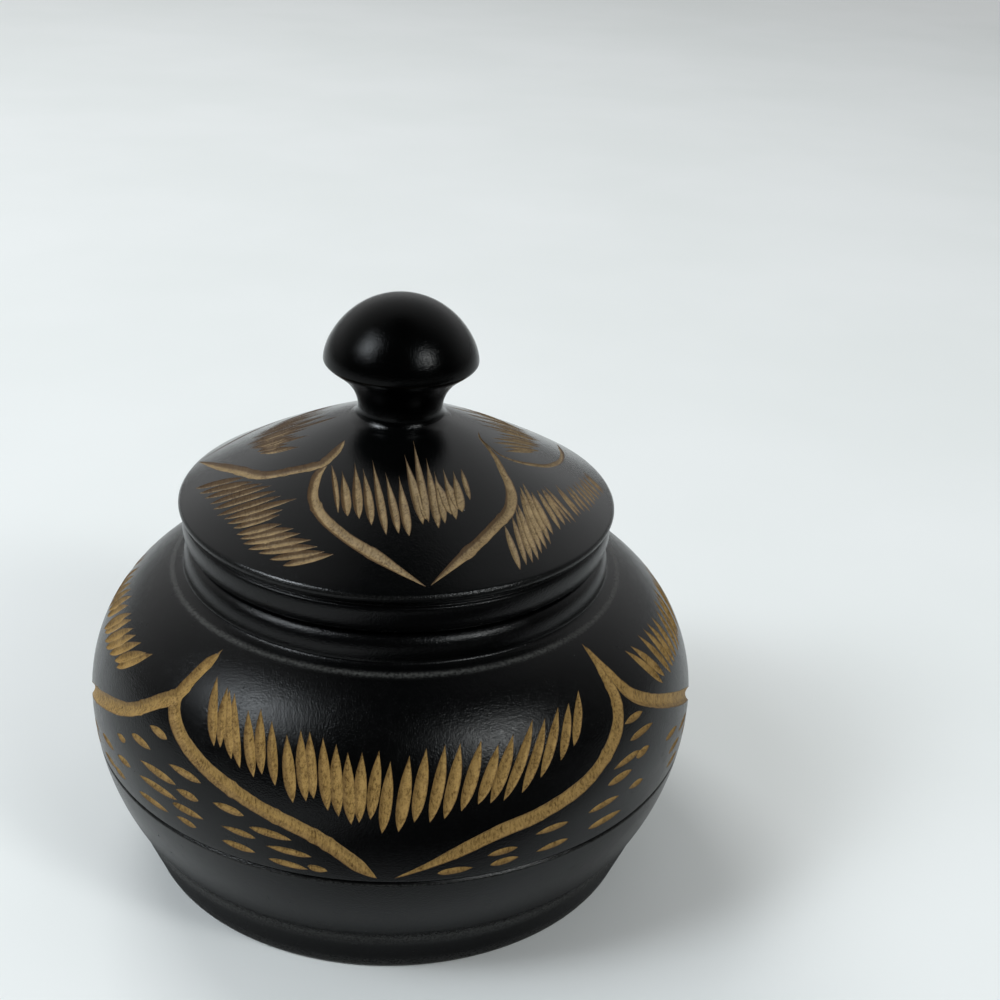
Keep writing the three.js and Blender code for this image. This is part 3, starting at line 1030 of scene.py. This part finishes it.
def finish_material(tree, colour, rough, sheen, bumps, veil=None):
    """The shader with its bumps one on another. bumps are (height, strength, distance in metres), and veil
    is the share that is clear."""
    values = {"Base Color": colour, "Roughness": rough, "Specular IOR Level": sheen}
    normal = {}
    for height, strength, distance in bumps:
        bump = put(tree, "Bump", {"Height": height, "Strength": strength, "Distance": distance, **normal})
        normal = {"Normal": bump.outputs["Normal"]}
    surface = put(tree, "BsdfPrincipled", {**values, **normal}).outputs["BSDF"]
    if veil:
        clear = put(tree, "BsdfTransparent").outputs[0]
        surface = put(tree, "MixShader", {0: veil, 1: surface, 2: clear}).outputs[0]
    put(tree, "OutputMaterial", {"Surface": surface})


def noise(tree, vector, scale, detail=3.0, roughness=0.55):
    values = {"Vector": vector, "Scale": scale, "Detail": detail, "Roughness": roughness}
    return put(tree, "TexNoise", values).outputs["Fac"]


def line_noise(tree, length, scale, detail, roughness):
    """Noise along a length in mm."""
    values = {"W": length, "Scale": scale, "Detail": detail, "Roughness": roughness}
    return put(tree, "TexNoise", values, noise_dimensions="1D").outputs["Fac"]


def ranged(tree, value, low, high, to_low=0.0, to_high=1.0):
    values = {"Value": value, "From Min": low, "From Max": high, "To Min": to_low, "To Max": to_high}
    return put(tree, "MapRange", values, interpolation_type="SMOOTHSTEP").outputs["Result"]


def maths(tree, operation, first, second):
    return put(tree, "Math", {0: first, 1: second}, operation=operation).outputs[0]


def mixed(tree, share, first, second):
    """A colour between two."""
    return put(tree, "Mix", {0: share, 6: first, 7: second}, data_type="RGBA").outputs[2]


def object_places(tree):
    return put(tree, "TexCoord").outputs["Object"]


def distance_out(tree, places):
    return put(tree, "VectorMath", {0: places}, operation="LENGTH").outputs["Value"]


def attribute(tree, name, output="Fac"):
    return put(tree, "Attribute", attribute_name=name).outputs[output]


def turning_lines(tree, fineness):
    """Fine rings that the lathe leaves, from the path length along the section in mm."""
    return line_noise(tree, attribute(tree, "path"), fineness, 4.0, 0.6)


def stretched(tree, vector, along_z):
    """Coordinates in which noise becomes fibres along the turning axis."""
    return put(tree, "Mapping", {"Vector": vector, "Scale": (1, 1, along_z)}).outputs["Vector"]


def dust(tree, places, cells, size, share):
    """Specks: 1 on a few small spots."""
    cell = put(tree, "TexVoronoi", {"Vector": places, "Scale": cells})
    dot = ranged(tree, cell.outputs["Distance"], size, size * 0.5)
    draw = put(tree, "SeparateColor", {"Color": cell.outputs["Color"]}).outputs[0]
    return maths(tree, "MULTIPLY", dot, maths(tree, "GREATER_THAN", draw, 1 - share))


def lacquer(name, tint, low_rough, high_rough, sheen, dusty, grain):
    """Black lacquer with turning lines, fine pores, scuffed arrises, bands of painted reflection and dust.
    """
    material, tree = new_material(name)
    places = object_places(tree)
    pores = noise(tree, places, 5600, 1.0, 0.5)
    cloud = noise(tree, places, 90)
    rings = turning_lines(tree, 2.2)
    dark = tuple(0.7 * c for c in tint)
    colour = mixed(tree, ranged(tree, cloud, 0.35, 0.7), (*dark, 1), (*tint, 1))
    # Paler where the lacquer is scuffed, and in the bands of painted reflection
    patchy = ranged(tree, noise(tree, places, 3000, 3.0, 0.7), 0.36, 0.64, 0.25, 1.0)
    wear_and_reflection_share = maths(tree, "MULTIPLY", attribute(tree, "wear_and_reflection"), patchy)
    colour = mixed(tree, wear_and_reflection_share, colour, WORN_AND_REFLECTING_LACQUER)
    specks = dust(tree, places, 520, 0.06, dusty)
    colour = mixed(tree, specks, colour, LACQUER_DUST)
    rough = ranged(tree, noise(tree, places, 500, 8.0, 0.8), 0.3, 0.7, low_rough, high_rough)
    dulled = maths(tree, "MULTIPLY", maths(tree, "MAXIMUM", wear_and_reflection_share, specks), 0.3)
    rough = maths(tree, "ADD", rough, dulled)
    bumps = [(rings, 0.1, 0.00004), (pores, grain, 0.00005), (cloud, 0.12, 0.0002)]
    finish_material(tree, colour, rough, sheen, bumps)
    return material


def carved_wood(name, dark, light, sheen, wall_shade_share, shallow_depth):
    """Pale wood cut by the gouge: fibres along the axis, the tool's marks across, browned edges, and
    painted shade on one wall of each cut.
    """
    material, tree = new_material(name)
    places = object_places(tree)
    parts = put(tree, "SeparateXYZ", {"Vector": attribute(tree, "cut", "Vector")})
    along, across, depth = (parts.outputs[k] for k in ("X", "Y", "Z"))
    fibre = noise(tree, stretched(tree, places, 0.22), 4400, 4.0, 0.7)
    mottle = noise(tree, stretched(tree, places, 0.5), 900, 3.0)
    colour = mixed(tree, ranged(tree, fibre, 0.31, 0.58), dark, light)
    pale = tuple(min(1.0, 1.3 * c + 0.01) for c in light)
    colour = mixed(tree, ranged(tree, mottle, 0.42, 0.7, 0, 0.6), colour, pale)
    specks = ranged(tree, noise(tree, places, 5600, 2.0), 0.56, 0.68, 0, 0.45)
    colour = mixed(tree, specks, colour, dark)
    edge = ranged(tree, maths(tree, "ABSOLUTE", across, 0), 0.84, 1.0)
    shallow = ranged(tree, depth, shallow_depth, shallow_depth * 0.2)
    thin = maths(tree, "MAXIMUM", edge, shallow)
    tinted = maths(tree, "MULTIPLY", thin, ranged(tree, mottle, 0.35, 0.6, 0.3, 0.8))
    colour = mixed(tree, tinted, colour, BROWNED_WOOD)
    # Painted shade: the wall on the right of each cut, past its deepest line, is darkened as if in shadow
    wall = ranged(tree, across, -0.3, -0.62, 0, wall_shade_share)
    colour = mixed(tree, wall, colour, SHADED_WOOD)
    chatter = line_noise(tree, along, 3.4, 1.0, 0.5)
    bumps = [(chatter, 0.4, 0.0002), (fibre, 0.5, 0.00014)]
    finish_material(tree, colour, 0.55, sheen, bumps)
    return material


def inner_stain():
    """Dark stained wood inside and underneath, with tool rings and open grain."""
    material, tree = new_material("inner_stain")
    places = object_places(tree)
    grain = noise(tree, stretched(tree, places, 0.12), 1500, 4.0, 0.6)
    rings = turning_lines(tree, 1.6)
    colour = mixed(tree, ranged(tree, grain, 0.3, 0.7), STAIN_DARK, STAIN_LIGHT)
    colour = mixed(tree, dust(tree, places, 260, 0.09, 0.05), colour, INNER_DUST)
    rough = ranged(tree, grain, 0.3, 0.7, 0.5, 0.68)
    finish_material(tree, colour, rough, 0.4, [(rings, 0.5, 0.00018), (grain, 0.4, 0.00008)])
    return material


# The jar


def carved_shell(section, low, high, carve):
    """A turned shell whose zone between two path lengths is carved."""
    shell = Shell()
    shell.add_turned(section, paths_between(section, 0, low), STEPS_ROUND)
    carve(section, shell, low, high)
    shell.add_turned(section, paths_between(section, high, section.path[-1]), STEPS_ROUND)
    return shell


def jar_piece(materials):
    section = Section(jar_section())
    groove = section.nearest((BELLY_RADIUS - 0.6, GROOVE_LEVEL))
    ledge = section.nearest(shoulder)
    low, high = (section.at_height(level, groove, ledge) for level in BELLY_ZONE)
    shell = carved_shell(section, low, high, carved_belly)
    under = section.nearest((RECESS_RADIUS + 0.3, 0))
    mouth = section.nearest((MOUTH_RADIUS, RIM_LEVEL - 1.0))
    wear_and_reflection_bands = [
        (ledge, 0.3, 0.64),
        (groove - 0.45, 0.12, 0.25),
        (section.nearest((FOOT_RADIUS, 0.3)), 0.4, 0.7),
        # Painted reflection: a pale band just above the foot's crest stands in for the floor seen in the
        # lacquer
        (section.nearest(foot_crest) + 0.9, 0.9, 0.26),
    ]

    def material_of(path):
        return np.where((path < under) | (path > mouth), STAINED, LACQUERED)

    mesh = shell.mesh("jar_body_turned", wear_and_reflection_bands, material_of)
    make_piece("carved_jar", mesh, materials, "jar", "jar_body")


def lid_piece(materials):
    section = Section(lid_section())
    top_edge = section.nearest((LID_RADIUS, TOP_EDGE_LEVEL))
    top = section.path > top_edge + 0.2
    radii, paths = section.line[top, 0], section.path[top]
    low, high = (float(np.interp(-r, -radii, paths)) for r in LID_ZONE)
    shell = carved_shell(section, low, high, carved_lid)
    seat = section.nearest((SPIGOT_RADIUS + 0.5, LID_LEVEL))
    brim = section.nearest((LID_RADIUS - 0.2, TOP_EDGE_LEVEL + 0.2))

    def material_of(path):
        return np.where(path < seat, STAINED, np.where(path < brim, SIDE, LACQUERED))

    mesh = shell.mesh("lid_turned", [(top_edge, 0.2, 0.08)], material_of)
    make_piece("carved_lid", mesh, materials, "lid", "lid")


def knob_piece(materials):
    """The knob. Its fillet, down to the seam with the lid, has the second material."""
    section = Section(knob_section())
    shell = Shell()
    shell.add_turned(section, section.path, KNOB_STEPS)
    fillet = section.nearest((KNOB_NECK_RADIUS + 0.3, KNOB_SEAT_LEVEL + 0.45))
    mesh = shell.mesh("knob_turned", [], lambda path: np.where(path < fillet, 1, 0))
    make_piece("mushroom_knob", mesh, materials, "lid", "lid_knob")


belly_lacquer = lacquer(
    "satin_black_lacquer", (0.0009, 0.001, 0.0011), 0.2, 0.28, sheen=0.2, dusty=0.05, grain=0.75
)
lid_lacquer = lacquer(
    "lid_black_lacquer", (0.001, 0.0012, 0.0013), 0.11, 0.17, sheen=0.4, dusty=0.04, grain=0.5
)
knob_lacquer = lacquer(
    "knob_black_lacquer", (0.0005, 0.0006, 0.0006), 0.16, 0.22, sheen=0.1, dusty=0.02, grain=0.5
)
belly_wood = carved_wood(
    "carved_wood", BELLY_WOOD_DARK, BELLY_WOOD_LIGHT, sheen=0.2, wall_shade_share=0.3, shallow_depth=0.08
)
lid_wood = carved_wood(
    "carved_lid_wood", LID_WOOD_DARK, LID_WOOD_LIGHT, sheen=0.35, wall_shade_share=0.75, shallow_depth=0.16
)
stain = inner_stain()
jar_piece([belly_lacquer, belly_wood, stain])
lid_piece([lid_lacquer, lid_wood, stain, belly_lacquer])
knob_piece([knob_lacquer, lid_lacquer])


# The stage, in metres

FLOOR_REACH = 4
FLOOR_SIDES = 96
FLOOR_FADE = (0.7, 1.8)
FLOOR_DARK = (0.78, 0.8, 0.79, 1)
FLOOR_LIGHT = (0.815, 0.83, 0.825, 1)
SHADE_CORNERS = ((-0.06, -0.4), (0.4, -0.4), (0.4, 0.05), (-0.06, 0.05))
SHADE_LEVEL = 0.0005
SHADE_GLOW = 0.035
FRONT_FILL, BACK_FILL = 0.16, 0.5
BACKDROP = 0.74
JAR_MIDDLE = (0, 0, 0.035)
# Soft lamps: azimuth, elevation, distance, width, height, how bright each looks, and its colour
LAMPS = {
    "left_window": (-70, 44, 1.1, 0.46, 0.5, 6.6, (0.88, 0.95, 1.0)),
    "left_pane": (-67, 42, 1.08, 0.22, 0.22, 13.0, (0.9, 0.96, 1.0)),
    "right_window": (43, 39, 1.1, 0.42, 0.36, 4.2, (0.9, 0.97, 1.0)),
    "right_pane": (46, 37, 1.08, 0.17, 0.19, 21.0, (0.98, 1.0, 0.98)),
    "back_light": (-150, 50, 1.1, 0.5, 0.5, 5.0, (0.97, 0.99, 1.0)),
}
# The photograph's camera, from its fit to the turned circles
CAMERA_PLACE = (0, -0.1761, 0.1321)
CAMERA_TURNS = (25.59, 4.20, -3.09)  # pitch, yaw and roll
FOCAL_LENGTH = 1.536  # in widths of the picture
SENSOR_WIDTH = 36


def flat_face(name, corners, material):
    """An object of one face."""
    mesh = bpy.data.meshes.new(name)
    mesh.from_pydata(corners, [], [tuple(range(len(corners)))])
    mesh.materials.append(material)
    return placed(name, mesh)


def pale_floor():
    """A pale floor that fades into the room far behind the jar, as the camera sees it."""
    material, tree = new_material("pale_floor")
    places = object_places(tree)
    colour = mixed(tree, ranged(tree, noise(tree, places, 9), 0.3, 0.7), FLOOR_DARK, FLOOR_LIGHT)
    bumps = [(noise(tree, places, 160), 0.1, 0.0005)]
    seen = put(tree, "LightPath").outputs["Is Camera Ray"]
    veil = maths(tree, "MULTIPLY", ranged(tree, distance_out(tree, places), *FLOOR_FADE), seen)
    finish_material(tree, colour, 0.55, 0.3, bumps, veil)
    rim = [(FLOOR_REACH * math.cos(t), FLOOR_REACH * math.sin(t), 0) for t in full_turn(FLOOR_SIDES)]
    floor = flat_face("floor", rim, material)


def front_shade():
    """The shade close round the jar and in front of it, where whoever looks at it stands. Only reflections
    see it."""
    material, tree = new_material("front_shade")
    places = object_places(tree)
    place = put(tree, "SeparateXYZ", {"Vector": places}).outputs
    nearness = ranged(tree, place["Y"], -0.043, -0.066)
    side = ranged(tree, place["X"], -0.05, -0.012)
    contact = ranged(tree, distance_out(tree, places), 0.039, 0.034, 0, 0.85)
    share = maths(tree, "MAXIMUM", maths(tree, "MULTIPLY", nearness, side), contact)
    above = maths(tree, "SUBTRACT", 1.0, put(tree, "NewGeometry").outputs["Backfacing"])
    share = maths(tree, "MULTIPLY", share, above)
    clear = put(tree, "BsdfTransparent").outputs[0]
    dark = put(tree, "Emission", {"Color": (0.9, 0.95, 1, 1), "Strength": SHADE_GLOW}).outputs[0]
    blend = put(tree, "MixShader", {0: share, 1: clear, 2: dark})
    put(tree, "OutputMaterial", {"Surface": blend.outputs[0]})
    shade = flat_face("front_shade", [(x, y, SHADE_LEVEL) for x, y in SHADE_CORNERS], material)
    for ray in ("camera", "diffuse", "transmission", "shadow"):
        setattr(shade, "visible_" + ray, False)


def soft_lamp(name, azimuth, elevation, distance, width, height, radiance, colour):
    """A rectangular soft lamp that faces the jar."""
    lamp = bpy.data.lights.new(name, "AREA")
    lamp.shape = "RECTANGLE"
    lamp.size, lamp.size_y = width, height
    lamp.energy = radiance * math.pi * width * height
    lamp.color = colour
    holder = placed(name, lamp)
    a, e = math.radians(azimuth), math.radians(elevation)
    way = Vector((math.sin(a) * math.cos(e), -math.cos(a) * math.cos(e), math.sin(e)))
    holder.location = Vector(JAR_MIDDLE) + way * distance
    holder.rotation_euler = way.to_track_quat("Z", "Y").to_euler()
    holder.visible_glossy = name != "back_light"


def studio_world():
    """Even soft light, of which reflections see a room that is dark in front and overhead."""
    world = bpy.data.worlds.new("studio")
    scene.world = world
    world.use_nodes = True
    tree = world.node_tree
    tree.nodes.clear()
    way = put(tree, "SeparateXYZ", {"Vector": put(tree, "TexCoord").outputs["Generated"]}).outputs
    room = ranged(tree, way["Y"], -0.3, 0.75, 0.02, 0.72)
    overhead = ranged(tree, way["Z"], 0.94, 0.99, 1, 0.15)
    horizon = ranged(tree, way["Z"], 0.0, 0.25, 0.55, 1)
    room = maths(tree, "MULTIPLY", maths(tree, "MULTIPLY", room, overhead), horizon)
    fill = ranged(tree, way["Y"], -0.6, 0.7, FRONT_FILL, BACK_FILL)
    rays = put(tree, "LightPath").outputs
    level = put(tree, "Mix", {0: rays["Is Glossy Ray"], 2: fill, 3: room}, data_type="FLOAT").outputs[0]
    seen = {0: rays["Is Camera Ray"], 2: level, 3: BACKDROP}
    strength = put(tree, "Mix", seen, data_type="FLOAT").outputs[0]
    back = put(tree, "Background", {"Color": (0.98, 0.995, 1, 1), "Strength": strength})
    put(tree, "OutputWorld", {"Surface": back.outputs["Background"]})


def photo_camera():
    pitch, yaw, roll = (math.radians(a) for a in CAMERA_TURNS)
    forward = Vector((math.sin(yaw) * math.cos(pitch), math.cos(yaw) * math.cos(pitch), -math.sin(pitch)))
    right = Vector((math.cos(yaw), -math.sin(yaw), 0))
    down = forward.cross(right)
    right, down = (
        math.cos(roll) * right + math.sin(roll) * down,
        math.cos(roll) * down - math.sin(roll) * right,
    )
    camera = bpy.data.cameras.new("camera")
    camera.sensor_width = SENSOR_WIDTH
    camera.lens = SENSOR_WIDTH * FOCAL_LENGTH
    camera.clip_start = 0.01
    holder = placed("camera", camera)
    axes = Matrix((right, -down, -forward)).transposed()
    holder.matrix_world = Matrix.Translation(CAMERA_PLACE) @ axes.to_4x4()
    scene.camera = holder


pale_floor()
front_shade()
studio_world()
for name, settings in LAMPS.items():
    soft_lamp(name, *settings)
photo_camera()
scene.view_settings.view_transform = "Standard"
